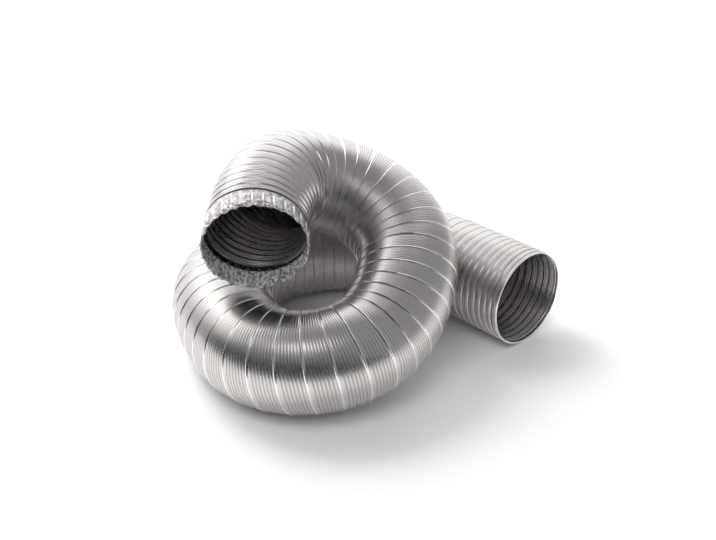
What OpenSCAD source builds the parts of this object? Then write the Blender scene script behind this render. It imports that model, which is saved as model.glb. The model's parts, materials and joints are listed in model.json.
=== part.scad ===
// Flexible aluminium duct, semi-rigid, wound from one strip with a lock seam.
// It lies as it was left: the plain end straight on the floor, then one full loop
// that climbs over itself and ends in a crimped mouth above the loop.

/* [Duct] */
// Clear bore, which slips over a 100 mm spigot
bore_d = 100; // [80:1:125]
// Depth of the corrugated wall, from the bore to the top of a seam
wall = 2.5; // [2.2:0.1:4]
// Height of the lock seam above the strip beside it
seam_rise = 0.9; // [0.4:0.1:1.2]
// Width of the lock seam along the duct
seam_w = 4; // [2:0.5:4.5]

/* [Route] */
// Straight length of the plain tail
tail_len = 105; // [80:5:180]
// Gap left where one turn of the loop lies on the other
turn_gap = 2; // [1.5:0.5:8]
// Seam pitch along the straight tail, pushed together
tail_pitch = 12; // [8:0.5:20]
// Seam pitch round the lower loop, pulled out
loop_pitch = 18.5; // [14:0.5:24]
// Seam pitch up the right side
side_pitch = 16; // [12:0.5:24]
// Seam pitch over the top of the loop
top_pitch = 20; // [12:0.5:24]
// Seam pitch in the last bend before the crimped mouth
end_pitch = 10; // [8:0.5:20]

/* [Plain end] */
// Length of the plain cuff at the mouth of the tail
cuff_len = 9; // [8:0.5:16]
// How far the cuff stands out over the seams
cuff_step = 0.3; // [0.2:0.1:1]
// Thickness of the folded hem at the rim of the cuff
hem_d = 2; // [1.2:0.1:2.4]

/* [Crimped end] */
// Length of the round neck behind the flutes
neck_len = 9; // [8:0.5:16]
// Length of the fluted band
flute_len = 14; // [8:1:25]
// Length of the crumpled hem past the flutes
hem_len = 9; // [5:1:15]
// Number of flutes pressed round the collar
flute_count = 30; // [20:1:40]
// Height of a flute above the panels beside it
flute_rise = 1.8; // [1:0.1:2]
// Growth in radius from the neck to the crimped mouth
flare = 1; // [0:0.1:3]
// Thickness of the pressed sheet, seams and folds together
sheet = 1; // [0.6:0.1:1.2]

/* [Hidden] */
$fn = 96;

outer_r = bore_d / 2 + wall;
outer_d = 2 * outer_r;
cuff_r = outer_r + cuff_step;

// How far the winding stops short of the rim of the cuff and of the end of the neck
run_out = 1;

// One row for each bend: inner radius in duct diameters, turn in degrees to the
// left, level of the duct at its end in duct diameters, seam pitch at its end.
bends = [
    [1.05,  55, 0.00, loop_pitch],
    [0.80,  45, 0.00, loop_pitch],
    [0.55,  45, 0.00, loop_pitch],
    [1.45,  25, 0.00, loop_pitch],
    [0.25, 100, 0.10, loop_pitch],
    [0.85,  40, 0.45, side_pitch],
    [0.18,  85, 0.91, top_pitch],
    [0.18,  80, 1.18, end_pitch],
    [1.60,  25, 0.98, neck_len - 2 * run_out]
];

// Legs of the route in plan: length, turn, level at the end and seam pitch at the end.
legs = concat(
    [[tail_len, 0, 0, tail_pitch]],
    [for (b = bends) [(b[0] * outer_d + outer_r) * b[1] * PI / 180, b[1], b[2], b[3]]]
);
last_leg = len(legs) - 1;

// A knot is where a leg starts: plan distance, heading, x and y.
function moved(knot, run, turn) =
    let (half = turn / 2)
    let (chord = turn == 0 ? run : run * sin(half) / (half * PI / 180))
    let (way = knot[1] + half)
    [knot[0] + run, knot[1] + turn, knot[2] + chord * cos(way), knot[3] + chord * sin(way)];
mouth_knot = [0, 180, 0, 0];
knots = [
    for (i = 0, k = mouth_knot; i <= len(legs);
         k = i < len(legs) ? moved(k, legs[i][0], legs[i][1]) : k, i = i + 1) k
];
route_len = knots[len(legs)][0];

// Height and seam pitch at each knot. The seam closes up at both ends, so that its
// last turn runs out inside the cuff and inside the neck.
knot_z = concat([cuff_r], [for (l = legs) cuff_r + l[2] * (outer_d + turn_gap)]);
knot_pitch = concat([cuff_len - 2 * run_out], [for (l = legs) l[3]]);

// Slope of the height curve at a knot, level wherever the duct lies on the floor.
function rise(i) = (knot_z[i + 1] - knot_z[i]) / legs[i][0];
function knot_slope(i) =
    i == 0 ? rise(0)
    : i == len(legs) ? rise(last_leg)
    : rise(i - 1) * rise(i) <= 0 ? 0
    : 2 * rise(i - 1) * rise(i) / (rise(i - 1) + rise(i));
slopes = [for (i = [0:len(legs)]) knot_slope(i)];

function leg_at(s, i = 0) = i == last_leg || s < knots[i + 1][0] ? i : leg_at(s, i + 1);

// Place on the centreline at plan distance s: origin, side axis, up axis, forward axis.
function place(s) =
    let (i = leg_at(s))
    let (run = legs[i][0])
    let (along = s - knots[i][0])
    let (t = along / run)
    let (k = moved(knots[i], along, legs[i][1] * t))
    let (z = knot_z[i] * (1 + 2 * t) * (1 - t) * (1 - t) + slopes[i] * run * t * (1 - t) * (1 - t)
           + knot_z[i + 1] * t * t * (3 - 2 * t) + slopes[i + 1] * run * t * t * (t - 1))
    let (tilt = atan(6 * t * (1 - t) * rise(i) + slopes[i] * (1 - t) * (1 - 3 * t)
           + slopes[i + 1] * t * (3 * t - 2)))
    let (h = k[1])
    [
        [k[2], k[3], z],
        [-sin(h), cos(h), 0],
        [-sin(tilt) * cos(h), -sin(tilt) * sin(h), cos(tilt)],
        [cos(tilt) * cos(h), cos(tilt) * sin(h), sin(tilt)]
    ];
function rim(at, r, angle) = at[0] + r * (cos(angle) * at[1] + sin(angle) * at[2]);

// The strip winds from inside the cuff to inside the neck. Each turn starts one
// local pitch after the last, and the turns are then spread to end in the neck.
sides = 20;
neck_s = route_len - flute_len - hem_len;
seam_start = run_out;
seam_end = neck_s - run_out;
function pitch_at(s) = lookup(s, [for (i = [0:len(legs)]) [knots[i][0], knot_pitch[i]]]);
function turn_run(s) = pitch_at(s) * place(s)[2][2];
first_turns = [for (s = seam_start; s < seam_end; s = s + turn_run(s)) s];
turns = len(first_turns);
spread = (seam_end - seam_start)
    / (first_turns[turns - 1] + turn_run(first_turns[turns - 1]) - seam_start);
turn_s = concat(
    [for (s = first_turns) seam_start + (s - seam_start) * spread],
    [seam_end]
);
function wound(u) =
    let (k = min(floor(u / sides), turns - 1))
    turn_s[k] + (turn_s[k + 1] - turn_s[k]) * (u / sides - k);

// Three lines follow the strip: the foot of the seam, its top and its other foot.
strip_r = outer_r - seam_rise;
lower_line = [for (u = [0:turns * sides]) rim(place(wound(u)), strip_r, u * 360 / sides)];
top_line = [
    for (u = [0:(turns - 1) * sides]) rim(place(wound(u) + seam_w / 2), outer_r, u * 360 / sides)
];
upper_line = [
    for (u = [0:(turns - 1) * sides]) rim(place(wound(u) + seam_w), strip_r, u * 360 / sides)
];

// Rings of the bore, one for each small turn of a bend. Their flats clear the bore.
ring_turn = 14;
bore_step = 0.1;
bore_ring_r = (bore_d / 2 + bore_step) / cos(180 / sides);
ring_s = concat(
    [seam_start],
    [for (i = [1:last_leg]) let (n = ceil(legs[i][1] / ring_turn))
        for (j = [0:n - 1]) knots[i][0] + legs[i][0] * j / n],
    [seam_end]
);
ring_points = [for (s = ring_s) for (j = [0:sides - 1]) rim(place(s), bore_ring_r, j * 360 / sides)];

// Numbering of the points of the wall in one list.
top_from = len(lower_line);
upper_from = top_from + len(top_line);
ring_from = upper_from + len(upper_line);
wall_points = concat(lower_line, top_line, upper_line, ring_points);
function ring_no(i, j) = ring_from + i * sides + j % sides;
inner_turns = (turns - 1) * sides;
last_ring = len(ring_s) - 1;

function quad(a, b, c, d) = [[a, b, c], [a, c, d]];
wall_faces = concat(
    [for (u = [0:inner_turns - 1]) each quad(u, top_from + u, top_from + u + 1, u + 1)],
    [for (u = [0:inner_turns - 1])
        each quad(top_from + u, upper_from + u, upper_from + u + 1, top_from + u + 1)],
    [for (u = [0:inner_turns - 1])
        each quad(upper_from + u, u + sides, u + sides + 1, upper_from + u + 1)],
    [for (i = [0:last_ring - 1]) for (j = [0:sides - 1])
        each quad(ring_no(i, j), ring_no(i, j + 1), ring_no(i + 1, j + 1), ring_no(i + 1, j))],
    [for (u = [0:sides - 1]) each quad(ring_no(0, u), u, u + 1, ring_no(0, u + 1))],
    [let (r = ring_no(0, 0)) each [
        [r, sides, upper_from],
        [r, upper_from, top_from],
        [r, top_from, 0]
    ]],
    [for (j = [0:sides - 1]) let (u = inner_turns + j)
        each quad(ring_no(last_ring, j), ring_no(last_ring, j + 1), u + 1, u)],
    [let (u = inner_turns, r = ring_no(last_ring, 0)) each [
        [r, u, top_from + u],
        [r, top_from + u, upper_from + u],
        [r, upper_from + u, u + sides]
    ]]
);

// Crimped collar, swept from inside the neck to the mouth. Rows: distance along
// the collar, share of the flare and share of the flute height.
collar_len = flute_len + hem_len;
root = 2;
shoulder = 3;
collar_rows = [
    [-root, 0, 0],
    [shoulder, 0.2, 1],
    [flute_len, 0.6, 0.35],
    [collar_len, 1, 1]
];
steps = 3 * flute_count;
panel_r = bore_d / 2 + (wall + sheet) / 2;
function collar_ring(row, inset) =
    let (at = place(neck_s + row[0]))
    [for (j = [0:steps - 1])
        rim(at, panel_r - inset + flare * row[1] + (j % 3 == 1 ? flute_rise * row[2] : 0),
            j * 360 / steps)];
collar_points = concat(
    [for (row = collar_rows) each collar_ring(row, 0)],
    [for (row = collar_rows) each collar_ring(row, sheet)]
);
rows = len(collar_rows);
function skin(i, j) = i * steps + j % steps;
function lining(i, j) = (rows + i) * steps + j % steps;
collar_faces = concat(
    [for (i = [0:rows - 2]) for (j = [0:steps - 1])
        each quad(skin(i, j), skin(i + 1, j), skin(i + 1, j + 1), skin(i, j + 1))],
    [for (i = [0:rows - 2]) for (j = [0:steps - 1])
        each quad(lining(i, j), lining(i, j + 1), lining(i + 1, j + 1), lining(i + 1, j))],
    [for (j = [0:steps - 1]) each quad(lining(0, j), skin(0, j), skin(0, j + 1), lining(0, j + 1))],
    [for (j = [0:steps - 1]) let (i = rows - 1)
        each quad(skin(i, j), lining(i, j), lining(i, j + 1), skin(i, j + 1))]
);

// The origin stands on the floor under the middle of the duct's box.
all_points = concat(wall_points, collar_points, [[0, cuff_r, cuff_r]]);
box_lo = [for (k = [0:1]) min([for (p = all_points) p[k]])];
box_hi = [for (k = [0:1]) max([for (p = all_points) p[k]])];
centre = (box_lo + box_hi) / 2;

// Frame of a place on the route, with its z axis forward along the duct.
function frame_of(at) = [
    [at[1][0], at[2][0], at[3][0], at[0][0]],
    [at[1][1], at[2][1], at[3][1], at[0][1]],
    [at[1][2], at[2][2], at[3][2], at[0][2]],
    [0, 0, 0, 1]
];

module winding() {
    polyhedron(wall_points, wall_faces, convexity = 10);
}

module plain_cuff() {
    hem_r = hem_d / 2;
    translate([0, 0, cuff_r]) rotate([0, -90, 0]) rotate_extrude() {
        translate([bore_d / 2, hem_r]) square([cuff_r - bore_d / 2, cuff_len - hem_r]);
        translate([cuff_r - hem_r, hem_r]) circle(hem_r);
        translate([bore_d / 2, 0]) square([cuff_r - hem_r - bore_d / 2, 2 * hem_r]);
    }
}

module neck() {
    multmatrix(frame_of(place(neck_s))) translate([0, 0, -neck_len]) rotate_extrude()
        translate([bore_d / 2, 0]) square([cuff_r - bore_d / 2, neck_len]);
}

module crimped_collar() {
    polyhedron(collar_points, collar_faces, convexity = 10);
}

module duct() {
    color([0.77, 0.77, 0.78]) translate([-centre[0], -centre[1], 0]) {
        winding();
        plain_cuff();
        neck();
        crimped_collar();
    }
}

duct();
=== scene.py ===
"""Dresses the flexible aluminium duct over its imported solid.

The strip is wound along the same bends as the solid, with its seven fine ribs and
its lock seam, and the two ends get their own pieces. Sizes are in metres.
"""

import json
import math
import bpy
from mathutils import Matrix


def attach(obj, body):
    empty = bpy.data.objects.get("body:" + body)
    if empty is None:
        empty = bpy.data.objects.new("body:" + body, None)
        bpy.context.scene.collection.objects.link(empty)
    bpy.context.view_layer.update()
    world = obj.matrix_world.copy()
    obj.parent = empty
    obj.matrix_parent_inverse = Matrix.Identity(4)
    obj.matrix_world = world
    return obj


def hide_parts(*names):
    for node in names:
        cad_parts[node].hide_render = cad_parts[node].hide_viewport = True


bl_info = {
    "name": "Flexible aluminium duct",
    "version": (1, 0, 0),
    "blender": (4, 5, 0),
    "location": "View3D > Sidebar > Duct",
    "description": "Winds a corrugated aluminium duct along its bends and lights it",
    "category": "Object",
}

import bpy
import numpy as np
from bpy.props import (
    FloatProperty,
    FloatVectorProperty,
    IntProperty,
    PointerProperty,
)

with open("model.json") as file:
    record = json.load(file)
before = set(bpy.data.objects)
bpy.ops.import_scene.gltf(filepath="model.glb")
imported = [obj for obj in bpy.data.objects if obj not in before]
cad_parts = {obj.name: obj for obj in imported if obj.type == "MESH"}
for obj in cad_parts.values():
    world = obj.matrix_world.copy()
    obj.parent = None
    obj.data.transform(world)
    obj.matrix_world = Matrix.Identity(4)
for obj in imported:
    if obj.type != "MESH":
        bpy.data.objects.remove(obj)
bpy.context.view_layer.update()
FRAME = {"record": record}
MOUNTS = {mount["name"]: mount for mount in FRAME["record"]["mounts"]}
PLAIN_BORE = MOUNTS["plain_end"]["dims"]["r_mm"] / 1000
CUFF_LENGTH = MOUNTS["plain_end"]["dims"]["length_mm"] / 1000
MOUTH_X = MOUNTS["plain_end"]["pos_m"][0] + CUFF_LENGTH / 2
MOUTH_Y = MOUNTS["plain_end"]["pos_m"][1]


# Route, with the same values as the solid

WALL = 0.0025
OUTER = PLAIN_BORE + WALL
CUFF_OUTER = OUTER + 0.0003
TURN_GAP = 0.002
# The seam keeps this far from the mouth and from the flutes
RUN_OUT = 0.001
NECK_LENGTH = 0.009
FLUTED = 0.014
HEM = 0.009
COLLAR = FLUTED + HEM
# Seam pitch where the duct is pulled out
PULLED_PITCH = 0.0185
# Straight tail: its run and the seam pitch at its end, and its heading in degrees
TAIL = (0.105, 0.012)
TAIL_HEADING = 180.0
# Inner radius in duct diameters, turn in degrees, level at the end in duct
# diameters and seam pitch at the end, one row for each bend of the solid.
BENDS = (
    (1.05, 55, 0.00, PULLED_PITCH),
    (0.80, 45, 0.00, PULLED_PITCH),
    (0.55, 45, 0.00, PULLED_PITCH),
    (1.45, 25, 0.00, PULLED_PITCH),
    (0.25, 100, 0.10, PULLED_PITCH),
    (0.85, 40, 0.45, 0.016),
    (0.18, 85, 0.91, 0.020),
    (0.18, 80, 1.18, 0.010),
    (1.60, 25, 0.98, NECK_LENGTH - 2 * RUN_OUT),
)
# A half turn below this, in radians, counts as straight
STRAIGHT = 1e-9


class Route:
    """The centreline of the duct and the turns of its seam, as the solid has them."""

    def __init__(self):
        across = 2 * OUTER
        legs = [(TAIL[0], 0.0, 0.0, TAIL[1])]
        for share, turn, level, pitch in BENDS:
            legs.append(((share * across + OUTER) * math.radians(turn), turn, level, pitch))
        self.run = np.array([leg[0] for leg in legs])
        self.turn = np.array([leg[1] for leg in legs], float)
        self.start = np.concatenate(([0.0], np.cumsum(self.run)))
        self.heading = np.concatenate(([TAIL_HEADING], TAIL_HEADING + np.cumsum(self.turn)))
        levels = [CUFF_OUTER + leg[2] * (across + TURN_GAP) for leg in legs]
        self.level = np.array([CUFF_OUTER] + levels)
        self.pitch = np.array([CUFF_LENGTH - 2 * RUN_OUT] + [leg[3] for leg in legs])
        self.length = self.start[-1]
        self.neck = self.length - FLUTED - HEM
        spots = [np.array([MOUTH_X, MOUTH_Y])]
        for i in range(len(legs)):
            spots.append(self.stepped(spots[i], self.heading[i], self.run[i], self.turn[i]))
        self.spot = np.array(spots)
        self.rise = np.diff(self.level) / self.run
        self.slope = self.slopes()
        self.seam = self.wound_turns()
        self.turns = len(self.seam) - 1

    def slopes(self):
        """How steeply the centreline climbs at each joint of two legs, without overshoot."""
        slopes = [self.rise[0]]
        for before, after in zip(self.rise[:-1], self.rise[1:]):
            level = before * after <= 0
            slopes.append(0.0 if level else 2 * before * after / (before + after))
        slopes.append(self.rise[-1])
        return np.array(slopes)

    @staticmethod
    def stepped(spot, heading, run, turn):
        """Where an arc ends that starts at a spot with a heading, a run and a turn."""
        half = np.radians(np.asarray(turn) / 2)
        safe = np.where(np.abs(half) < STRAIGHT, 1.0, half)
        chord = run * np.where(np.abs(half) < STRAIGHT, 1.0, np.sin(safe) / safe)
        way = np.radians(heading) + half
        return spot + np.stack([chord * np.cos(way), chord * np.sin(way)], -1)

    def place(self, s):
        """Centre, side axis and up axis at each distance s along the route."""
        s = np.asarray(s, float)
        i = np.clip(np.searchsorted(self.start, s, side="right") - 1, 0, len(self.run) - 1)
        run, along = self.run[i], s - self.start[i]
        t = along / run
        spot = self.stepped(self.spot[i], self.heading[i], along, self.turn[i] * t)
        low, high = self.level[i], self.level[i + 1]
        slope, next_slope = self.slope[i], self.slope[i + 1]
        z = low * (1 + 2 * t) * (1 - t) ** 2 + slope * run * t * (1 - t) ** 2
        z = z + high * t * t * (3 - 2 * t) + next_slope * run * t * t * (t - 1)
        climb = 6 * t * (1 - t) * self.rise[i] + slope * (1 - t) * (1 - 3 * t)
        tilt = np.arctan(climb + next_slope * t * (3 * t - 2))
        h = np.radians(self.heading[i] + self.turn[i] * t)
        centre = np.concatenate([spot, z[..., None]], -1)
        side = np.stack([-np.sin(h), np.cos(h), 0 * h], -1)
        up = np.stack([-np.sin(tilt) * np.cos(h), -np.sin(tilt) * np.sin(h), np.cos(tilt)], -1)
        return centre, side, up

    def rim(self, s, radius, angle):
        """Points at a radius and an angle round the centreline."""
        centre, side, up = self.place(s)
        radius = np.asarray(radius)[..., None]
        return centre + radius * (np.cos(angle)[..., None] * side + np.sin(angle)[..., None] * up)

    def wound_turns(self):
        """Where each turn of the seam starts, one local pitch after the last."""
        first, last = RUN_OUT, self.neck - RUN_OUT
        starts, s = [], first
        while s < last:
            starts.append(s)
            level_share = self.place(s)[2][2]
            s += np.interp(s, self.start, self.pitch) * level_share
        starts = np.array(starts)
        spread = (last - first) / (s - first)
        return np.concatenate([first + (starts - first) * spread, [last]])

    def wound(self, turn):
        """How far along the route the seam is after so many turns."""
        return np.interp(turn, np.arange(self.turns + 1), self.seam)


ROUTE = Route()


# Shader maths


class Flow:
    """A socket that Python's own operators can do sums with."""

    def __init__(self, tree, socket):
        self.tree, self.socket = tree, socket

    @staticmethod
    def node(tree, kind, out=0, settings=None, **inputs):
        """A node of any type: settings first, then the values or links of its sockets."""
        made = tree.nodes.new(kind)
        for name, value in (settings or {}).items():
            if name == "stops":
                ramp = made.color_ramp
                while len(ramp.elements) > 1:
                    ramp.elements.remove(ramp.elements[-1])
                for n, (place, colour) in enumerate(value):
                    stop = ramp.elements[0] if n == 0 else ramp.elements.new(place)
                    stop.position, stop.color = place, colour
            else:
                setattr(made, name, value)
        for name, value in inputs.items():
            numbered = name[0] == "_" and name[1:].isdigit()
            socket = made.inputs[int(name[1:]) if numbered else name.replace("_", " ")]
            if isinstance(value, Flow):
                tree.links.new(value.socket, socket)
            else:
                socket.default_value = value
        return Flow(tree, made.outputs[out]) if made.outputs else None

    def sum(self, operation, *others):
        """This socket and others through one Math node."""
        values = {f"_{n}": value for n, value in enumerate((self,) + others)}
        return Flow.node(self.tree, "ShaderNodeMath", settings={"operation": operation}, **values)

    def __add__(self, other):
        return self.sum("ADD", other)

    __radd__ = __add__

    def __mul__(self, other):
        return self.sum("MULTIPLY", other)

    __rmul__ = __mul__

    def __sub__(self, other):
        return self.sum("SUBTRACT", other)

    def __rsub__(self, other):
        settings = {"operation": "SUBTRACT"}
        return Flow.node(self.tree, "ShaderNodeMath", settings=settings, _0=other, _1=self)


def new_material(name):
    """A new material with its node tree, emptied."""
    material = bpy.data.materials.new(name)
    material.use_nodes = True
    tree = material.node_tree
    tree.nodes.clear()
    return material, tree


def blend_colour(tree, share, first, second):
    """The first colour where the share is 0, and the second where it is 1."""
    settings = {"data_type": "RGBA"}
    return Flow.node(
        tree, "ShaderNodeMix", out=2, settings=settings, Factor=share, _6=first, _7=second
    )


# Foil

# Noises over the foil: scale, detail and roughness
MOTTLE = (16.0, 4.0, 0.6)
GRAIN = (420.0, 3.0, 0.7)
MARKS = (95.0, 6.0, 0.75)
CREASES = (270.0, 2.0, 0.6)
BRIGHTEST = 0.97
# Crease noise above this level turns to specks of painted shade, at this rate
SPECK_LEVEL = 0.47
SPECK_RATE = 11
# What crumpling, marks, grain and grooves add to the roughness, and what a lip takes off
CRUMPLED_ROUGH = 0.12
MARKS_ROUGH = 0.16
GRAIN_ROUGH = 0.08
GROOVE_ROUGH = 0.2
LIP_ROUGH = 0.05
# Shares of the grain, the marks and the creases in the bump's height
GRAIN_HEIGHT = 0.3
MARKS_HEIGHT = 0.7
CREASE_HEIGHT = 2
# The bump's strength and distance on flat foil, and what full crumpling adds
BUMP_STRENGTH = (0.1, 0.9)
BUMP_DISTANCE = (0.0005, 0.0015)


def noise(tree, where, pattern):
    """A noise of a given scale, detail and roughness, at each place on the foil."""
    scale, detail, roughness = pattern
    return Flow.node(
        tree, "ShaderNodeTexNoise", Vector=where, Scale=scale, Detail=detail, Roughness=roughness
    )


def painted(tree, name):
    """The value that the mesh keeps under a name at each of its points."""
    return Flow.node(tree, "ShaderNodeAttribute", out=2, settings={"attribute_name": name})


def foil_material(name, finish, crumple, share, line="groove", metallic=1.0):
    """Satin aluminium foil: soft mottling, drawing grain, handling marks, painted highlight on the
    lips and painted shade in the grooves and creases.

    crumple goes from 0, flat, to 1, and share brightens or dims the foil's own colours:
    painted shade on the inside and the neck's lining, painted light on the crimped lining.
    """
    foil, warm = (
        (*(min(share * part, BRIGHTEST) for part in colour), 1)
        for colour in (finish.foil_colour, finish.warm_colour)
    )
    # The lip colour is a painted highlight, the groove colour is painted shade
    bright, shadowed = (*finish.lip_colour, 1), (*finish.groove_colour, 1)
    material, tree = new_material(name)
    where = Flow.node(tree, "ShaderNodeTexCoord", out=3)
    mottle = noise(tree, where, MOTTLE)
    grain = noise(tree, where, GRAIN)
    marks = noise(tree, where, MARKS)
    # Painted highlight where the lips are, and painted shade where the grooves are
    lip = painted(tree, "lip")
    groove = painted(tree, line)
    clean = blend_colour(tree, mottle, foil, warm)
    highlighted = blend_colour(tree, lip, clean, bright)
    colour = blend_colour(tree, groove * finish.groove_depth, highlighted, shadowed)
    height = grain * GRAIN_HEIGHT + marks * MARKS_HEIGHT
    if crumple:
        crease = noise(tree, where, CREASES)
        # Specks of painted shade in the creases of crumpled foil
        shade_specks = ((crease - SPECK_LEVEL) * SPECK_RATE).sum("MAXIMUM", 0).sum("MINIMUM", 1)
        colour = blend_colour(tree, shade_specks * (1 - lip) * crumple, colour, shadowed)
        height = height + crease * (CREASE_HEIGHT * crumple)
    rough = finish.roughness + CRUMPLED_ROUGH * crumple
    rough = rough + (marks - 0.5) * MARKS_ROUGH + (grain - 0.5) * GRAIN_ROUGH
    rough = rough + groove * GROOVE_ROUGH - lip * LIP_ROUGH
    bump = Flow.node(
        tree,
        "ShaderNodeBump",
        Strength=BUMP_STRENGTH[0] + BUMP_STRENGTH[1] * crumple,
        Distance=BUMP_DISTANCE[0] + BUMP_DISTANCE[1] * crumple,
        Height=height,
    )
    shader = Flow.node(
        tree,
        "ShaderNodeBsdfPrincipled",
        Base_Color=colour,
        Metallic=metallic,
        Roughness=rough,
        Normal=bump,
    )
    Flow.node(tree, "ShaderNodeOutputMaterial", Surface=shader)
    return material


# Sheets of metal

# Points of a sheet's edges closer than this are one
MERGE_DISTANCE = 0.000002
# How finely the centreline is tried for the point nearest to a face
NEAREST_STEPS = 2000


def sheet(name, columns, rows):
    """A flat grid with cells round the duct and along it, and each point's column and row."""
    bpy.ops.object.select_all(action="DESELECT")
    bpy.ops.mesh.primitive_grid_add(x_subdivisions=columns, y_subdivisions=rows, size=1.0)
    piece = bpy.context.object
    piece.name = piece.data.name = name
    flat = np.empty(len(piece.data.vertices) * 3, np.float32)
    piece.data.vertices.foreach_get("co", flat)
    flat = flat.reshape(-1, 3)
    if len(flat) != (columns + 1) * (rows + 1):
        raise RuntimeError(f"{name}: the grid has {len(flat)} points")
    across = np.rint((flat[:, 0] + 0.5) * columns).astype(int)
    along = np.rint((flat[:, 1] + 0.5) * rows).astype(int)
    return piece, across, along


def kept_values(piece, name, values):
    """Keeps a value for each point of a piece, which its materials read by name."""
    layer = piece.data.attributes.new(name, "FLOAT", "POINT")
    layer.data.foreach_set("value", values)


def laid(piece, points, lip, groove):
    """Lays the sheet's points round the duct and keeps where the painted highlight on its lips and
    the painted shade in its grooves go.
    """
    piece.data.vertices.foreach_set("co", points.astype(np.float32).ravel())
    kept_values(piece, "lip", lip)
    kept_values(piece, "groove", groove)
    piece.data.update()


def closed_wall(piece, thickness, smooth, *materials):
    """Joins the sheet's own edges, points it outwards and gives it its thickness.

    The materials go in pairs, the outside first and then the inside. Edges turned by
    less than smooth, in degrees, are shaded smooth.
    """
    for material in materials:
        piece.data.materials.append(material)
    bpy.ops.object.select_all(action="DESELECT")
    piece.select_set(True)
    bpy.context.view_layer.objects.active = piece
    bpy.ops.object.mode_set(mode="EDIT")
    bpy.ops.mesh.select_all(action="SELECT")
    bpy.ops.mesh.remove_doubles(threshold=MERGE_DISTANCE)
    bpy.ops.object.mode_set(mode="OBJECT")
    face_out(piece)
    wall = piece.modifiers.new("Foil", "SOLIDIFY")
    wall.thickness, wall.offset, wall.use_rim = thickness, -1.0, True
    wall.material_offset = 1
    bpy.ops.object.modifier_apply(modifier=wall.name)
    fill_folds(piece.data)
    bpy.ops.object.shade_smooth_by_angle(angle=math.radians(smooth))


def fill_folds(mesh):
    """Pushes the inside of the wall in, where the folds of the seam make it thicker."""
    layer = mesh.attributes.get("folds")
    if layer is None:
        return
    count = len(mesh.vertices)
    places, pushes = np.empty(count * 3, np.float32), np.empty(count * 3, np.float32)
    mesh.vertices.foreach_get("co", places)
    layer.data.foreach_get("vector", pushes)
    half = count // 2 * 3
    if ((places[half:] - places[:half]) * pushes[half:]).sum() <= 0:
        raise RuntimeError("the inside of the wall isn't its second half")
    places[half:] += pushes[half:]
    mesh.vertices.foreach_set("co", places)
    mesh.attributes.remove(layer)
    mesh.update()


def face_out(piece):
    """Turns the faces of a wall away from the duct's centreline."""
    mesh = piece.data
    middle = mesh.polygons[len(mesh.polygons) // 2]
    centres, _, _ = ROUTE.place(np.linspace(0, ROUTE.length, NEAREST_STEPS))
    point = np.array(middle.center)
    nearest = centres[np.argmin(((centres - point) ** 2).sum(1))]
    if np.dot(point - nearest, np.array(middle.normal)) < 0:
        bpy.ops.object.mode_set(mode="EDIT")
        bpy.ops.mesh.select_all(action="SELECT")
        bpy.ops.mesh.flip_normals()
        bpy.ops.object.mode_set(mode="OBJECT")


def ring_sheet(name, steps, rows, laying):
    """A sheet closed round the duct, laid by a function of the row, the angle and the turn."""
    piece, step, row = sheet(name, steps, rows)
    angle = 2 * np.pi * (step % steps) / steps
    s, radius, lip, groove = laying(row, angle, step / steps)
    laid(piece, ROUTE.rim(s, radius, angle), lip, groove)
    return piece, row


def finished(piece):
    """Hides the solid that the piece stands for and hangs the piece on the body that carries it."""
    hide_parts("duct")
    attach(piece, "root")


# Wound strip

# Each length of wall, with the turns of the seam at which it starts and ends.
# The cuts lie under the duct, and the last length ends where the collar begins.
LENGTHS = (
    ("duct_tail", 0, 12.75),
    ("duct_near_bend", 12.75, 27.75),
    ("duct_front_bend", 27.75, 42.75),
    ("duct_right_bend", 42.75, 57.75),
    ("duct_top_bend", 57.75, None),
)
# The lock seam across its width: share of the width, depth under its top, painted highlight on the
# lip, painted shade in the groove
SEAM = (
    (0.00, 0.00115, 0.0, 0.45),
    (0.20, 0.00040, 0.7, 0.0),
    (0.38, 0.00000, 1.0, 0.0),
    (0.58, 0.00035, 0.7, 0.0),
    (0.78, 0.00105, 0.0, 0.30),
    (1.00, 0.00088, 0.0, 0.0),
)
# The largest share of the pitch that the seam may take
SEAM_SHARE = 0.26
RIB_CELLS = 4
# How far the fine ribs lie under the top of the seam
RIB_DEPTH = 0.0009
# Painted shade in the grooves between the fine ribs
RIB_SHADE = 0.8
# Slight waves in the radius: their height, then waves round a turn, radians a metre
# along the duct and start of each.
WOBBLE = 0.00008
WOBBLES = ((3, 41, 0.0), (5, -67, 1.3))
STRIP_SMOOTH = 70
# The strip looks fully pushed together at this much under the pulled-out pitch, and
# this far along the duct that look has eased off to its least share.
PRESSED_SPAN = 0.0065
PRESSED_FADE = 0.16
PRESSED_LEAST = 0.6
# What pushing it together takes off: the depth of the ribs, their height, the depth
# of the seam and its painted highlight. It also arches the strip between two seams.
PRESSED_DEPTH = 0.5
PRESSED_HEIGHT = 0.4
PRESSED_SEAM = 0.3
PRESSED_HIGHLIGHT = 0.5
PRESSED_ARCH = 0.0003
# The inside's lines of painted shade: under the seam, and half their strength between the ribs
SEAM_LINE = 0.2
INNER_LINE = 0.35


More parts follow.
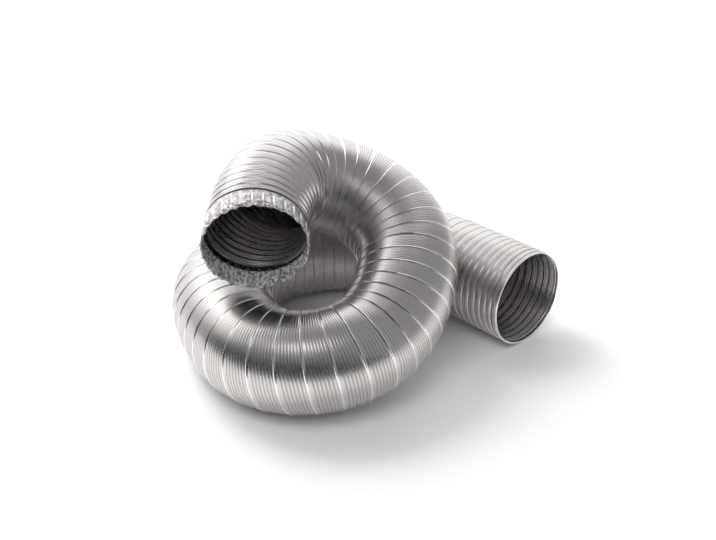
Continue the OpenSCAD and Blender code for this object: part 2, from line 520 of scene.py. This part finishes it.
def strip_length(name, sizes, first, last, outside, inside):
    """Winds the strip from one turn of the seam to another."""
    steps, seam_cells, rib_cells = sizes.steps_round, len(SEAM) - 1, sizes.ribs * RIB_CELLS
    piece, step, cell = sheet(name, round((last - first) * steps), seam_cells + rib_cells)
    turn = first + step / steps
    angle = 2 * np.pi * ((round(first * steps) + step) % steps) / steps
    low, high = ROUTE.wound(turn), ROUTE.wound(turn + 1)
    pitch = high - low
    pressed = np.clip((PULLED_PITCH - pitch) / PRESSED_SPAN, 0, 1)
    pressed = pressed * np.clip(1 + PRESSED_LEAST - low / PRESSED_FADE, PRESSED_LEAST, 1)

    shares, depths, lips, grooves = np.array(SEAM).T
    in_seam, closing = cell <= seam_cells, cell == seam_cells + rib_cells
    n = np.minimum(cell, seam_cells)
    rib = np.clip((cell - seam_cells) / rib_cells, 0, 1)
    width = np.minimum(sizes.seam_width, SEAM_SHARE * pitch)
    s = np.where(in_seam, low + shares[n] * width, low + width + (pitch - width) * rib)
    wave = np.cos(2 * np.pi * np.where(pressed > 0.5, sizes.pressed_ribs, sizes.ribs) * rib)

    rib_depth = RIB_DEPTH * (1 - PRESSED_DEPTH * pressed)
    rib_depth = rib_depth + sizes.rib_height * (1 - PRESSED_HEIGHT * pressed) * wave
    rib_depth = rib_depth - PRESSED_ARCH * pressed * np.sin(np.pi * rib)
    depth = np.where(in_seam, depths[n] * (1 - PRESSED_SEAM * pressed), rib_depth)
    depth = np.where(closing, depths[0] * (1 - PRESSED_SEAM * pressed), depth)
    waves = (np.sin(count * angle + rate * s + start) for count, rate, start in WOBBLES)
    wobble = WOBBLE * sum(waves)
    # Painted highlight on the seam's lip, and painted shade in the seam's grooves and between the
    # ribs
    lip = np.where(in_seam, lips[n] * (1 - PRESSED_HIGHLIGHT * pressed), 0.0)
    groove = np.where(in_seam, grooves[n], RIB_SHADE * (0.5 + 0.5 * wave))
    groove = np.where(closing, grooves[0], groove)
    laid(piece, ROUTE.rim(s, sizes.seam_top - depth - WOBBLE + wobble, angle), lip, groove)

    at_seam = in_seam | closing
    inner_depth = RIB_DEPTH + np.where(at_seam, 0.5, 0.5 + 0.5 * wave) * sizes.inner_rib
    filling = np.maximum(inner_depth - depth, 0)
    pushes = ROUTE.rim(s, 0 * s, angle) - ROUTE.rim(s, filling, angle)
    folds = piece.data.attributes.new("folds", "FLOAT_VECTOR", "POINT")
    folds.data.foreach_set("vector", pushes.astype(np.float32).ravel())
    # Lines of painted shade on the inside, darkest in its grooves
    kept_values(piece, "inner_line", np.where(at_seam, SEAM_LINE, INNER_LINE - INNER_LINE * wave))
    closed_wall(piece, sizes.foil, STRIP_SMOOTH, outside, inside)
    return piece


# Plain end

# Angles in degrees round the rolled rim's bead, from its free edge over the outside
# and the mouth to the inside, where the cuff begins.
BEAD = (200, 150, 100, 50, 0, -50, -90, -130, -175)
CUFF_STEPS = 144
CUFF_ROWS = 4
# How far the cuff lies under the top of the seam, bows in, and drops at the seam
CUFF_DEPTH = 0.0006
CUFF_BOW = 0.0002
CUFF_DROP = 0.0014
# Slight waves in its radius: height, waves round a turn and start of each
CUFF_WAVES = ((0.00007, 7, 0), (0.00005, 13, 1))
# Painted highlight on the cuff, and painted shade where it drops to the seam
CUFF_HIGHLIGHT = 0.25
CUFF_SHADE = 0.8
CUFF_SMOOTH = 60
CUFF_CRUMPLE = 0.15


def cuff_laying(sizes):
    """The function that lays the plain cuff, from its rolled rim to the first seam."""
    flat, roll = sizes.seam_top - CUFF_DEPTH, sizes.hem_roll
    bead_angles, curl = np.radians(BEAD), len(BEAD)

    def laying(row, angle, turn):
        t = np.clip((row - curl + 1) / CUFF_ROWS, 0, 1)
        n = np.minimum(row, curl - 1)
        reach = ROUTE.wound(turn)
        rolled, ending = row < curl, t >= 1
        bead_s = roll * (1 - np.sin(-bead_angles[n] + np.pi / 2))
        s = np.where(rolled, bead_s, roll + (reach - roll) * t)
        bead = sizes.seam_top - roll + roll * np.sin(bead_angles[n])
        drop = np.where(ending, CUFF_DROP, CUFF_BOW * np.sin(np.pi * t))
        radius = np.where(rolled, bead, flat - drop)
        wave = sum(high * np.sin(count * angle + start) for high, count, start in CUFF_WAVES)
        # Painted highlight on the rolled rim and the cuff, and painted shade where the cuff drops
        # to the seam
        lip, groove = np.where(rolled, 1.0, CUFF_HIGHLIGHT), np.where(ending, CUFF_SHADE, 0.0)
        return s, radius + wave, lip, groove

    return laying


# Crimped end

COLLAR_SEED = 7
COLLAR_WALL = 0.0002
COLLAR_SMOOTH = 28
# Steps round the duct for each flute
FLUTE_STEPS = 12
# The seeded folds: so many columns for each flute, and levels along the collar, with
# the last place that is still read between two levels.
FLUTE_FOLDS = 4
FOLD_LEVELS = 13
LAST_LEVEL = FOLD_LEVELS - 1.001
# Rows of the collar, in metres from the end of the neck, and in shares of the hem
NECK_ROWS = (-0.0045, -0.0025, -0.001, 0.0)
PRESS_ROWS = (0.0008, 0.002, 0.0035, 0.005, 0.0065, 0.008, 0.0095, 0.011, 0.0125, FLUTED)
HEM_STEPS = 12
HEM_ROWS = tuple(FLUTED + HEM * k / HEM_STEPS for k in range(1, HEM_STEPS + 1))
TUCK_ROWS = tuple(FLUTED + HEM * k for k in (0.9, 0.7, 0.45, 0.2))
# Rows after the neck that still have its plain lining, which is dimmed as painted shade
PLAIN_ROWS = 2
# How far the tucked layer lies under the hem, and how far its folds are shifted
TUCK_DEPTH = 0.0013
TUCK_SHIFT = 0.7
# A flute: how it leans, its ridge's half-width, and how it rises along the collar
LEAN = 0.35
LEAN_SWING = 0.25
HEM_SWING = 0.1
RIDGE_WIDTH = 0.00125
RIDGE_PLACES = (0, 0.0008, 0.0035, 0.012, FLUTED, COLLAR)
RIDGE_RISES = (0, 0.25, 1, 0.9, 0.55, 0.45)
# How the panel bulges between two ridges, and the line of painted shade beside a ridge
PANEL_BULGE = 0.00025
PANEL_WIDTH = 0.011
SIDE_PLACE = 0.0022
SIDE_WIDTH = 0.0007
# Radius of the collar's panels, how much it opens out, and the radius inside the last seam
COLLAR_RADIUS = PLAIN_BORE + 0.00175
COLLAR_FLARE = 0.001
NECK_RADIUS = PLAIN_BORE + 0.0006
# How deep the folds are on the flutes, and how fast they reach full depth on the hem
FLUTE_FOLD = 0.3
HEM_FOLD = 3
# How far the hem's edge goes in and out with the flutes and unevenly, and how far its
# folds slide along the duct.
EDGE_WAVE = 0.0007
EDGE_UNEVEN = 0.0005
FOLD_SLIDE = 0.0005
# Painted highlight on ridges and raised folds, and painted shade in sunk folds: on the flutes,
# and what the hem adds.
RIDGE_HIGHLIGHT = 1.2
FOLD_HIGHLIGHT = (0.2, 0.6)
FOLD_SHADE = (0.4, 0.5)
# Crumple and brightness of the collar's materials (the lining's is painted light), how metallic
# its lining is, and how bright the neck's lining is beside the inside of the duct: painted shade.
CRIMPED_FOIL = (0.62, 0.9)
CRIMPED_LINING_PAINTED_LIGHT = (0.9, 1.35)
LINING_METALLIC = 0.2
NECK_SHADE_SHARE = 0.5


class Collar:
    """The rows of the fluted collar, and the seeded folds that are crumpled into it."""

    def __init__(self, sizes):
        self.sizes = sizes
        rng = np.random.default_rng(COLLAR_SEED)
        folds = (FOLD_LEVELS, sizes.flutes * FLUTE_FOLDS)
        self.crease = rng.uniform(-1, 1, folds)
        self.shift = rng.uniform(-1, 1, folds)
        self.lean = rng.uniform(-LEAN, LEAN, sizes.flutes)
        self.edge = rng.uniform(-1, 1, sizes.flutes * 2)
        self.runs = np.array(NECK_ROWS + PRESS_ROWS + HEM_ROWS + TUCK_ROWS)
        self.first_tucked = len(self.runs) - len(TUCK_ROWS)

    @staticmethod
    def folded(table, level, angle):
        """Reads a table of folds between its levels and round the duct."""
        columns = table.shape[1]
        column = angle / (2 * np.pi) * columns
        left = np.floor(column).astype(int)
        low = np.clip(np.floor(level).astype(int), 0, FOLD_LEVELS - 2)
        u, v = column - left, level - low
        here, beside = left % columns, (left + 1) % columns
        lower = table[low, here] * (1 - u) + table[low, beside] * u
        upper = table[low + 1, here] * (1 - u) + table[low + 1, beside] * u
        return lower * (1 - v) + upper * v

    def laying(self, row, angle, turn):
        """Distance along the route, radius, painted highlight and painted shade at each point."""
        x, tucked = self.runs[row], row >= self.first_tucked
        over = np.clip((x - FLUTED) / HEM, 0, 1)
        level = x / COLLAR * (FOLD_LEVELS - 2) + tucked * TUCK_SHIFT
        level = np.clip(level, 0, LAST_LEVEL)
        fold = self.folded(self.crease, level, angle)
        slide = self.folded(self.shift, level, angle)

        flutes = self.sizes.flutes
        flute = angle / (2 * np.pi) * flutes
        lean = self.lean[np.floor(flute).astype(int) % flutes]
        swing = lean * LEAN_SWING + HEM_SWING * over * lean
        off = (flute - np.floor(flute) - 0.5 - swing) * 2 * np.pi * OUTER / flutes
        ridge = np.exp(-((off / RIDGE_WIDTH) ** 2))
        rise = np.interp(x, RIDGE_PLACES, RIDGE_RISES)
        side = np.exp(-(((off - SIDE_PLACE) / SIDE_WIDTH) ** 2)) * rise
        panel = PANEL_BULGE * np.cos(2 * np.pi * off / PANEL_WIDTH) * rise

        radius = COLLAR_RADIUS + COLLAR_FLARE * np.clip(x / COLLAR, 0, 1)
        radius = radius + self.sizes.flute_height * ridge * rise - panel
        depth = np.clip(FLUTE_FOLD * rise + over * HEM_FOLD, 0, 1)
        radius = radius + self.sizes.crumple * fold * depth - TUCK_DEPTH * tucked
        radius = np.where(row == 0, NECK_RADIUS, radius)

        # Painted highlight on ridges and raised folds, painted shade in sunk folds, beside ridges
        # and at the neck
        lip = RIDGE_HIGHLIGHT * ridge * rise + np.clip(fold, 0, 1) * (FOLD_HIGHLIGHT[0] + FOLD_HIGHLIGHT[1] * over)
        sunk = np.clip(-fold, 0, 1) * (FOLD_SHADE[0] + FOLD_SHADE[1] * over)
        groove = np.where(row == 0, 1.0, 0) + sunk + side
        x = x + (FOLD_SLIDE * slide * over) + self.edge_shift(over, flute, turn)
        s = ROUTE.neck + self.from_seam(x, row, turn)
        return s, radius, np.clip(lip, 0, 1), np.clip(groove, 0, 1)

    def edge_shift(self, over, flute, turn):
        """How far the outer half of the hem moves out or in, along the duct."""
        column = turn * self.sizes.flutes * 2
        left = np.floor(column).astype(int)
        here, beside = self.edge[left % len(self.edge)], self.edge[(left + 1) % len(self.edge)]
        uneven = here * (1 - column + left) + beside * (column - left)
        wave = EDGE_WAVE * np.cos(2 * np.pi * flute) - EDGE_UNEVEN + EDGE_UNEVEN * uneven
        return np.where(over > 0.5, (over - 0.5) * 2, 0) * wave

    @staticmethod
    def from_seam(x, row, turn):
        """Starts the collar on the last turn of the seam, and evens the neck's rows out."""
        starts = ROUTE.wound(ROUTE.turns - 1 + turn) - ROUTE.neck
        last_neck_row = len(NECK_ROWS) - 1
        on_neck = np.maximum(x, starts * (1 - (row / last_neck_row)))
        return np.where(row == 0, starts, np.where(x < 0, on_neck, x))

    def dress_rows(self, piece, row):
        """Gives the rows up to the flutes the second pair, with the neck's lining in painted shade,
        and the tucked hem the lining in painted light.
        """
        mesh = piece.data
        corners = np.empty(len(mesh.loops), np.int32)
        mesh.loops.foreach_get("vertex_index", corners)
        lowest = row[corners.reshape(-1, 4)].min(1)
        plain = lowest < len(NECK_ROWS) + PLAIN_ROWS
        slots = np.where(plain, 2, np.where(lowest >= self.first_tucked - 1, 1, 0))
        mesh.polygons.foreach_set("material_index", slots.astype(np.int32))


# Properties


class DuctSizes(bpy.types.PropertyGroup):
    """Sizes of the strip and of the two ends."""

    seam_top: FloatProperty(
        name="Seam top",
        description="Radius of the top of the lock seam",
        default=OUTER - 0.0002,
        unit="LENGTH",
    )
    seam_width: FloatProperty(
        name="Seam width",
        description="Width of the lock seam where the duct is pulled out",
        default=0.0024,
        unit="LENGTH",
    )
    ribs: IntProperty(
        name="Ribs", description="Fine ribs between two turns of the seam", default=7, min=3, max=12
    )
    pressed_ribs: IntProperty(
        name="Gathered ribs",
        description="Ribs that show where the turns are pushed together",
        default=3,
        min=1,
        max=7,
    )
    rib_height: FloatProperty(
        name="Rib height",
        description="Half the height of a fine rib",
        default=0.00013,
        unit="LENGTH",
    )
    inner_rib: FloatProperty(
        name="Inner rib",
        description="Height of a fine rib on the inside",
        default=0.0005,
        unit="LENGTH",
    )
    foil: FloatProperty(
        name="Foil", description="Thickness of the strip", default=0.00015, unit="LENGTH"
    )
    steps_round: IntProperty(
        name="Steps round", description="Faces round one turn", default=72, min=24, max=120
    )
    hem_roll: FloatProperty(
        name="Rolled rim",
        description="Radius of the rolled rim of the plain end",
        default=0.0009,
        unit="LENGTH",
    )
    flutes: IntProperty(
        name="Flutes", description="Flutes pressed round the collar", default=30, min=12, max=48
    )
    flute_height: FloatProperty(
        name="Flute height",
        description="Height of a flute over its panels",
        default=0.0017,
        unit="LENGTH",
    )
    crumple: FloatProperty(
        name="Crumple",
        description="Depth of the folds in the crimped hem",
        default=0.0013,
        unit="LENGTH",
    )


class DuctFinish(bpy.types.PropertyGroup):
    """Colours and finish of the aluminium, with the colours of its painted highlight and painted
    shade.
    """

    foil_colour: FloatVectorProperty(
        name="Foil",
        description="Clean aluminium",
        subtype="COLOR",
        default=(0.785, 0.758, 0.752),
        min=0,
        max=1,
    )
    warm_colour: FloatVectorProperty(
        name="Handled foil",
        description="Foil dulled by handling",
        subtype="COLOR",
        default=(0.68, 0.642, 0.632),
        min=0,
        max=1,
    )
    # The seam lip's colour is a painted highlight on the top of the lock seam
    lip_colour: FloatVectorProperty(
        name="Seam lip",
        description="Bright top of the lock seam",
        subtype="COLOR",
        default=(0.95, 0.945, 0.94),
        min=0,
        max=1,
    )
    # The groove colour is the painted shade at the bottom of a groove
    groove_colour: FloatVectorProperty(
        name="Groove",
        description="Dull bottom of a groove",
        subtype="COLOR",
        default=(0.2, 0.195, 0.2),
        min=0,
        max=1,
    )
    # The groove dullness sets how strong the painted shade in the grooves is
    groove_depth: FloatProperty(
        name="Groove dullness",
        description="How dull the grooves are",
        subtype="FACTOR",
        default=0.75,
        min=0,
        max=1,
    )
    # The inside is dimmed by this share as painted shade
    inside_share: FloatProperty(
        name="Inside",
        description="How bright the dulled inside is beside the outside",
        subtype="FACTOR",
        default=0.95,
    )
    roughness: FloatProperty(
        name="Roughness",
        description="Roughness of the foil",
        subtype="FACTOR",
        default=0.25,
        min=0,
        max=1,
    )


class StudioSettings(bpy.types.PropertyGroup):
    """Camera, lamps and floor."""

    camera_place: FloatVectorProperty(
        name="Camera",
        description="Place of the camera",
        subtype="TRANSLATION",
        default=(0.94067, -0.88149, 0.78633),
    )
    camera_aim: FloatVectorProperty(
        name="Aim",
        description="Point the camera looks at",
        subtype="TRANSLATION",
        default=(-0.08768, 0.11995, 0.0),
    )
    lens: FloatProperty(name="Lens", description="Focal length", default=69.645, min=10, max=200)
    softbox_power: FloatProperty(
        name="Softbox",
        description="Power of the softbox on the left",
        default=5.0,
        unit="POWER",
    )
    key_power: FloatProperty(
        name="Key lamp",
        description="Power of the lamp that casts the shadow",
        default=20.0,
        unit="POWER",
    )
    fill_power: FloatProperty(
        name="Fill lamp",
        description="Power of the lamp that lightens the mouth and the shadow",
        default=7.0,
        unit="POWER",
    )
    top_power: FloatProperty(
        name="Top lamp",
        description="Power of the small lamp above",
        default=1.6,
        unit="POWER",
    )
    floor_colour: FloatVectorProperty(
        name="Floor",
        description="Colour of the floor",
        subtype="COLOR",
        default=(0.9, 0.9, 0.9),
        min=0,
        max=1,
    )
    floor_gain: FloatProperty(
        name="Floor gain",
        description="How much whiter the floor shows than it lights",
        default=1.28,
    )


# Pieces


class DUCT_OT_wall(bpy.types.Operator):
    """Wind the corrugated strip in five lengths that meet along its seam"""

    bl_idname = "duct.wall"
    bl_label = "Corrugated wall"

    def execute(self, context):
        sizes, finish = context.scene.duct_sizes, context.scene.duct_finish
        outside = foil_material("satin_foil", finish, 0.0, 1.0)
        # The inside is a dimmed copy of the foil, painted shade, with lines of painted shade
        inside = foil_material("inner_foil", finish, 0.0, finish.inside_share, "inner_line")
        for name, first, last in LENGTHS:
            last = ROUTE.turns - 1 if last is None else last
            finished(strip_length(name, sizes, first, last, outside, inside))
        return {"FINISHED"}


class DUCT_OT_plain_end(bpy.types.Operator):
    """Fill the wedge between the first seam and the mouth, and roll its rim"""

    bl_idname = "duct.plain_end"
    bl_label = "Plain end"

    def execute(self, context):
        sizes, finish = context.scene.duct_sizes, context.scene.duct_finish
        rows = len(BEAD) - 1 + CUFF_ROWS
        piece, _ = ring_sheet("duct_plain_rim", CUFF_STEPS, rows, cuff_laying(sizes))
        rim = foil_material("rim_foil", finish, CUFF_CRUMPLE, 1.0)
        closed_wall(piece, sizes.foil * 2, CUFF_SMOOTH, rim, rim)
        finished(piece)
        return {"FINISHED"}


class DUCT_OT_crimped_end(bpy.types.Operator):
    """Press the fluted collar and crumple its hem"""

    bl_idname = "duct.crimped_end"
    bl_label = "Crimped end"

    def execute(self, context):
        sizes, finish = context.scene.duct_sizes, context.scene.duct_finish
        collar = Collar(sizes)
        steps, rows = sizes.flutes * FLUTE_STEPS, len(collar.runs) - 1
        piece, row = ring_sheet("duct_crimped_collar", steps, rows, collar.laying)
        collar.dress_rows(piece, row)
        outside = foil_material("crimped_foil", finish, *CRIMPED_FOIL)
        # The crimped lining is a brightened copy, painted light with specks of painted shade; the
        # neck's lining a dimmed copy, painted shade
        light_painted_lining = foil_material(
            "crimped_lining", finish, *CRIMPED_LINING_PAINTED_LIGHT, metallic=LINING_METALLIC
        )
        neck_lining = foil_material("neck_lining", finish, 0.0, NECK_SHADE_SHARE * finish.inside_share)
        closed_wall(piece, COLLAR_WALL, COLLAR_SMOOTH, outside, light_painted_lining, outside, neck_lining)
        finished(piece)
        return {"FINISHED"}


# Studio

# Each area lamp: its name, the property with its power, its place, its size, and
# whether gloss sees it.
LAMPS = (
    ("left_softbox", "softbox_power", (-1.45, -0.60, 1.40), (2.0, 1.0), True),
    ("key_softbox", "key_power", (-1.42, 0.02, 1.70), (1.2, 1.2), False),
    ("fill_softbox", "fill_power", (0.75, -1.0, 1.6), (1.0, 1.0), False),
    ("top_softbox", "top_power", (0.345, -0.774, 1.357), (0.7, 0.45), True),
)
FLOOR_SIZE = 30.0
SENSOR_WIDTH = 36.0
# Light Path's outputs for camera, gloss and transmission rays
SEEN_RAYS = (0, 3, 6)
WORLD_GREY = 0.4

TENT_RADIUS = 6.0
TENT_STRENGTH = 1.9
# Turn in degrees from the camera to the middle of the tent's bright side
GLOW_TURN = -165
# Greys by height, from 0.5 at the floor's level to 1 overhead: on the bright side
# beyond the duct, and on the dim side behind the camera.
BEYOND = ((0.5, 0.75), (0.80, 0.9), (0.87, 1.0), (0.905, 0.9), (0.945, 0.26), (1.0, 0.12))
BEHIND = ((0.5, 0.008), (0.60, 0.008), (0.68, 0.03), (0.77, 0.11), (0.9, 0.17), (1.0, 0.14))
# Where the dim side turns to plain grey on the right, and where the bright side begins
RIGHT = ((0.55, 0), (0.9, 1))
RIGHT_GREY = 0.2
LOBE = ((0.74, 0), (0.89, 1))

CARD_AWAY = 0.6
CARD_WIDTH = 2.2
CARD_HEIGHT = 0.2
CARD_LIFT = 0.002
CARD_BLACK = 0.02


def grey(value):
    return (value, value, value, 1)


def greys(tree, value, stops):
    """A ramp of greys, from pairs of place and grey."""
    stops = tuple((place, grey(shade)) for place, shade in stops)
    return Flow.node(tree, "ShaderNodeValToRGB", settings={"stops": stops}, Fac=value)


def vector_sum(tree, operation, out=0, **values):
    """One Vector Math node."""
    settings = {"operation": operation}
    return Flow.node(tree, "ShaderNodeVectorMath", out=out, settings=settings, **values)


def leaning(tree, place, way, radius):
    """How far a place on a sphere leans one way, from 0 to 1."""
    return vector_sum(tree, "DOT_PRODUCT", out=1, _0=place, _1=way) * (0.5 / radius) + 0.5


def seen_through(tree, shader_lit, shader_seen):
    """Shows one shader to the camera, gloss and glass, and the other to soft light."""
    path = [Flow.node(tree, "ShaderNodeLightPath", out=name) for name in SEEN_RAYS]
    seen = path[0].sum("MAXIMUM", path[1]).sum("MAXIMUM", path[2])
    return Flow.node(tree, "ShaderNodeMixShader", Fac=seen, _1=shader_lit, _2=shader_seen)


def toward_camera(studio):
    """The level direction from the duct to the camera."""
    back = np.array(studio.camera_place) - np.array(studio.camera_aim)
    return back[:2] / np.linalg.norm(back[:2])


class DUCT_OT_stage(bpy.types.Operator):
    """Set the floor, the tent, the card, the lamps and the camera"""

    bl_idname = "duct.stage"
    bl_label = "Studio"

    def execute(self, context):
        studio = context.scene.duct_studio
        self.floor(studio)
        self.tent(studio)
        self.card(studio)
        for name, power, place, size, glossy in LAMPS:
            self.softbox(name, getattr(studio, power), place, size, glossy)
        self.camera(context, studio)
        self.world(context)
        return {"FINISHED"}

    def floor(self, studio):
        """A pale floor that shows a little whiter than it lights, and keeps the shadow."""
        bpy.ops.object.select_all(action="DESELECT")
        bpy.ops.mesh.primitive_plane_add(size=FLOOR_SIZE)
        floor = bpy.context.object
        floor.name = "studio_floor"
        material, tree = new_material("studio_floor")
        shown = (*(studio.floor_gain * c for c in studio.floor_colour), 1)
        lit = Flow.node(tree, "ShaderNodeBsdfDiffuse", Color=(*studio.floor_colour, 1))
        white = Flow.node(tree, "ShaderNodeBsdfDiffuse", Color=shown)
        shader = seen_through(tree, lit, white)
        Flow.node(tree, "ShaderNodeOutputMaterial", Surface=shader)
        floor.data.materials.append(material)

    def tent(self, studio):
        """A tent for gloss and soft light: white beyond the duct, dim behind the camera."""
        bpy.ops.object.select_all(action="DESELECT")
        bpy.ops.mesh.primitive_uv_sphere_add(segments=48, ring_count=24, radius=TENT_RADIUS)
        tent = bpy.context.object
        tent.name = "studio_tent"
        tent.visible_camera = False
        tent.visible_shadow = False
        material, tree = new_material("studio_tent")
        where = Flow.node(tree, "ShaderNodeTexCoord", out=3)
        back = toward_camera(studio)
        height = leaning(tree, where, (0, 0, 1), TENT_RADIUS)
        level = vector_sum(tree, "MULTIPLY", _0=where, _1=(1, 1, 0))
        level = vector_sum(tree, "NORMALIZE", _0=level)
        beyond = greys(tree, height, BEYOND)
        behind = greys(tree, height, BEHIND)
        right = leaning(tree, where, (-back[1], back[0], 0), TENT_RADIUS)
        near = blend_colour(tree, greys(tree, right, RIGHT), behind, grey(RIGHT_GREY))
        turned = math.atan2(back[1], back[0]) + math.radians(GLOW_TURN)
        lobe = leaning(tree, level, (math.cos(turned), math.sin(turned), 0), 1.0)
        colour = blend_colour(tree, greys(tree, lobe, LOBE), near, beyond)
        glow = Flow.node(tree, "ShaderNodeEmission", Color=colour, Strength=TENT_STRENGTH)
        Flow.node(tree, "ShaderNodeOutputMaterial", Surface=glow)
        tent.data.materials.append(material)

    def card(self, studio):
        """A black card low in front, which only gloss sees: the dark band along the front bend."""
        back = toward_camera(studio)
        bpy.ops.object.select_all(action="DESELECT")
        bpy.ops.mesh.primitive_plane_add(size=1.0)
        card = bpy.context.object
        card.name = "studio_card"
        across, tall = np.array([-back[1], back[0], 0]), np.array([0, 0, 1.0])
        foot = np.array([*back, 0]) * CARD_AWAY + tall * CARD_LIFT
        for corner in card.data.vertices:
            x, y = corner.co[0], corner.co[1] + 0.5
            corner.co = foot + across * x * CARD_WIDTH + tall * y * CARD_HEIGHT
        card.visible_camera = card.visible_shadow = card.visible_diffuse = False
        material, tree = new_material("studio_card")
        black = Flow.node(tree, "ShaderNodeBsdfDiffuse", Color=grey(CARD_BLACK))
        Flow.node(tree, "ShaderNodeOutputMaterial", Surface=black)
        card.data.materials.append(material)

    def softbox(self, name, power, place, size, glossy):
        """An area lamp that faces the middle of the duct."""
        bpy.ops.object.light_add(type="AREA", location=place)
        lamp = bpy.context.object
        lamp.name = name
        lamp.data.shape = "RECTANGLE"
        lamp.data.size, lamp.data.size_y = size
        lamp.data.energy = power
        lamp.visible_glossy = glossy
        lamp.rotation_mode = "QUATERNION"
        lamp.rotation_quaternion = (-lamp.location).to_track_quat("-Z", "Y")

    def camera(self, context, studio):
        """A camera at the photograph's viewing angle."""
        bpy.ops.object.camera_add(location=studio.camera_place)
        camera = bpy.context.object
        camera.data.lens = studio.lens
        camera.data.sensor_width = SENSOR_WIDTH
        aim = studio.camera_aim.copy() - camera.location
        camera.rotation_mode = "QUATERNION"
        camera.rotation_quaternion = aim.to_track_quat("-Z", "Y")
        context.scene.camera = camera
        context.scene.view_settings.view_transform = "Standard"

    def world(self, context):
        """A world that is white to look at and lights softly."""
        world = bpy.data.worlds.new("studio_world")
        context.scene.world = world
        world.use_nodes = True
        tree = world.node_tree
        tree.nodes.clear()
        soft = Flow.node(tree, "ShaderNodeBackground", Color=grey(WORLD_GREY), Strength=1.0)
        white = Flow.node(tree, "ShaderNodeBackground", Color=grey(1), Strength=1.0)
        Flow.node(tree, "ShaderNodeOutputWorld", Surface=seen_through(tree, soft, white))


class DUCT_PT_panel(bpy.types.Panel):
    """Lists the duct's pieces in the sidebar"""

    bl_label = "Flexible duct"
    bl_space_type = "VIEW_3D"
    bl_region_type = "UI"
    bl_category = "Duct"

    def draw(self, context):
        column = self.layout.column()
        scene = context.scene
        for operator in OPERATORS:
            column.operator(operator.bl_idname)
        for group in (scene.duct_sizes, scene.duct_finish, scene.duct_studio):
            for name in group.__annotations__:
                column.prop(group, name)


OPERATORS = (DUCT_OT_stage, DUCT_OT_wall, DUCT_OT_plain_end, DUCT_OT_crimped_end)
CLASSES = (DuctSizes, DuctFinish, StudioSettings) + OPERATORS + (DUCT_PT_panel,)


def register():
    for cls in CLASSES:
        bpy.utils.register_class(cls)
    bpy.types.Scene.duct_sizes = PointerProperty(type=DuctSizes)
    bpy.types.Scene.duct_finish = PointerProperty(type=DuctFinish)
    bpy.types.Scene.duct_studio = PointerProperty(type=StudioSettings)


def unregister():
    del bpy.types.Scene.duct_studio
    del bpy.types.Scene.duct_finish
    del bpy.types.Scene.duct_sizes
    for cls in reversed(CLASSES):
        bpy.utils.unregister_class(cls)


def main():
    register()
    bpy.ops.duct.stage()
    bpy.ops.duct.wall()
    bpy.ops.duct.plain_end()
    bpy.ops.duct.crimped_end()


if __name__ == "__main__":
    main()
